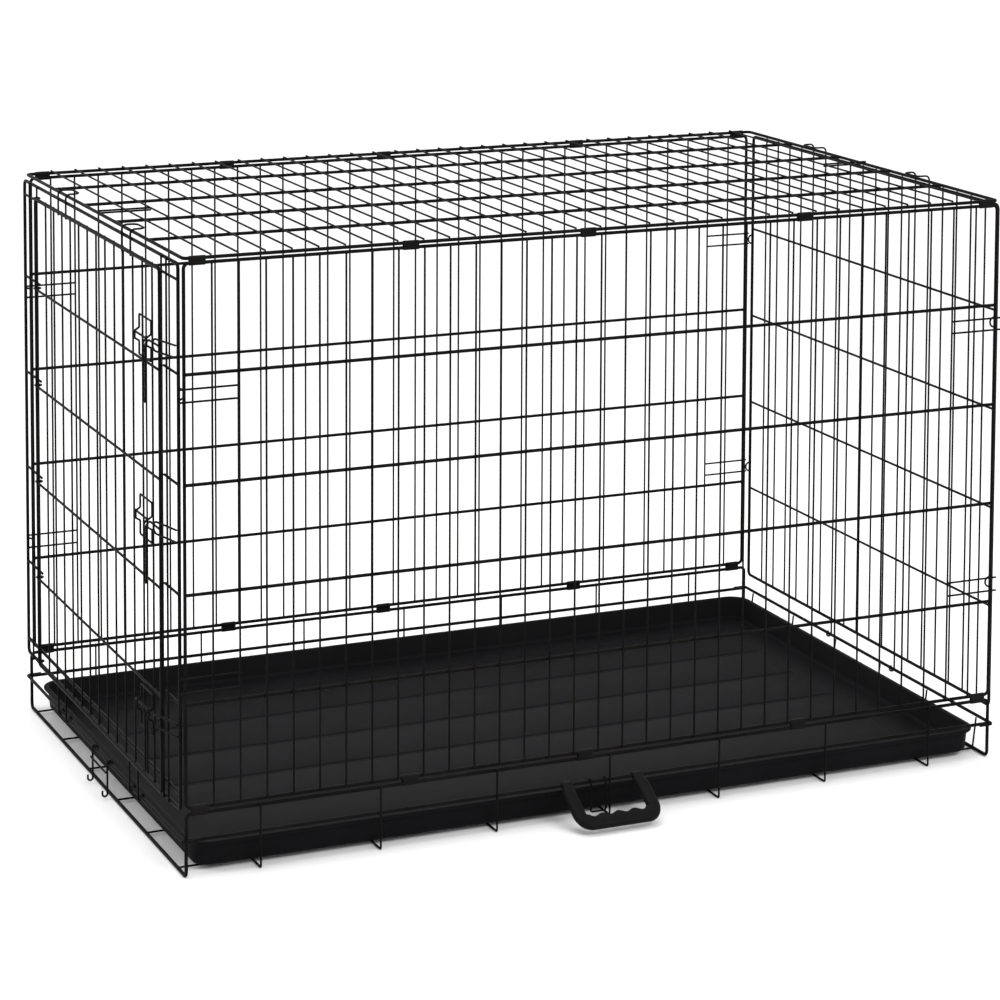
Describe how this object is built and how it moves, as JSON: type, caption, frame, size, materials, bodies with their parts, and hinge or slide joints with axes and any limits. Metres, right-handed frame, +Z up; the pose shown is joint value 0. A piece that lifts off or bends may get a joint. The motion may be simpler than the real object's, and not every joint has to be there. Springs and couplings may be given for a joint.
{
  "type": "folding wire dog crate",
  "caption": "Black folding wire dog crate with hinged end panels, a latched door, a lift-out plastic pan and a carry handle",
  "frame": {"origin": "centre of the footprint at floor level", "axes": "+X from the door end to the plain end, +Y from the handle side to the back, +Z up"},
  "size_m": [1.256, 0.8328, 0.8261],
  "materials": {
    "black_wire": "satin black powder coat",
    "clip_sheet": "satin black coated sheet",
    "pan_plastic": "fine textured black",
    "grip_plastic": "smooth satin black"
  },
  "bodies": {
    "base": {"base_loop_frame": "black_wire", "base_lower_rails": "black_wire", "base_cross_wires": "black_wire", "base_long_wires": "black_wire", "end_hinge_rails": "black_wire", "clips_front_bottom": "clip_sheet", "clips_back_bottom": "clip_sheet"},
    "front_side": {"front_panel": "black_wire", "front_keepers": "black_wire", "clips_front_top": "clip_sheet"},
    "back_side": {"back_panel": "black_wire", "back_keepers": "black_wire", "clips_back_top": "clip_sheet"},
    "roof": {"top_panel": "black_wire", "top_end_stays": "black_wire"},
    "left_end": {"left_end_frame": "black_wire", "left_end_wires": "black_wire", "left_top_loops": "black_wire", "left_corner_loops": "black_wire", "left_hinge_loops": "black_wire", "bolt_strikes": "black_wire"},
    "right_end": {"right_end_panel": "black_wire", "right_top_loops": "black_wire", "right_corner_loops": "black_wire", "right_hinge_loops": "black_wire"},
    "door": {"door_panel": "black_wire", "door_hinge_loops": "black_wire", "bolt_brackets": "black_wire"},
    "upper_bolt": {"upper_bolt": "black_wire"},
    "middle_bolt": {"middle_bolt": "black_wire"},
    "lower_bolt": {"lower_bolt": "black_wire"},
    "tray": {"tray": "pan_plastic"},
    "tray_latch": {"tray_latch": "black_wire"},
    "carry_handle": {"carry_handle": "grip_plastic"},
    "fold_latch": {"fold_latch": "black_wire"}
  },
  "joints": [
    {"name": "side_fold", "type": "hinge", "parent": "base", "child": "back_side", "pos_m": [0.00777, 0.40909, 0.094], "axis": [-1, 0, 0], "range_deg": [0, 83]},
    {"name": "front_side_fold", "type": "hinge", "parent": "base", "child": "front_side", "pos_m": [0.00777, -0.34411, 0.094], "axis": [-1, 0, 0], "range_deg": [0, 83]},
    {"name": "roof_level", "type": "hinge", "parent": "back_side", "child": "roof", "pos_m": [0.00777, 0.40909, 0.8183], "axis": [-1, 0, 0], "range_deg": [-83, 0]},
    {"name": "left_end_fold", "type": "hinge", "parent": "base", "child": "left_end", "pos_m": [-0.60662, 0.03249, 0.0505], "axis": [0, 1, 0], "range_deg": [0, 89.2]},
    {"name": "right_end_fold", "type": "hinge", "parent": "base", "child": "right_end", "pos_m": [0.62218, 0.03249, 0.0505], "axis": [0, -1, 0], "range_deg": [0, 87]},
    {"name": "door_swing", "type": "hinge", "parent": "left_end", "child": "door", "pos_m": [-0.61108, 0.32349, 0.45], "axis": [0, 0, 1], "range_deg": [-150, 0]},
    {"name": "lower_bolt_slide", "type": "slide", "parent": "door", "child": "lower_bolt", "axis": [0, -1, 0], "range_m": [-0.027, 0]},
    {"name": "middle_bolt_slide", "type": "slide", "parent": "door", "child": "middle_bolt", "axis": [0, -1, 0], "range_m": [-0.027, 0]},
    {"name": "upper_bolt_slide", "type": "slide", "parent": "door", "child": "upper_bolt", "axis": [0, -1, 0], "range_m": [-0.027, 0]},
    {"name": "handle_swing", "type": "hinge", "parent": "base", "child": "carry_handle", "pos_m": [-0.00272, -0.34411, 0.0505], "axis": [1, 0, 0], "range_deg": [-100, 0]},
    {"name": "fold_latch_swing", "type": "hinge", "parent": "base", "child": "fold_latch", "pos_m": [-0.00972, -0.34411, 0.0505], "axis": [1, 0, 0], "range_deg": [-100, 0]},
    {"name": "tray_latch_swing", "type": "hinge", "parent": "base", "child": "tray_latch", "pos_m": [-0.60662, 0.01849, 0.0505], "axis": [0, -1, 0], "range_deg": [-95, 0]},
    {"name": "tray_lift", "type": "slide", "parent": "base", "child": "tray", "axis": [0, 0, -1], "range_m": [-0.06, 0]}
  ],
  "couplings": [
    {"joint": "front_side_fold", "follows": "side_fold", "ratio": 1},
    {"joint": "roof_level", "follows": "side_fold", "ratio": -1}
  ]
}
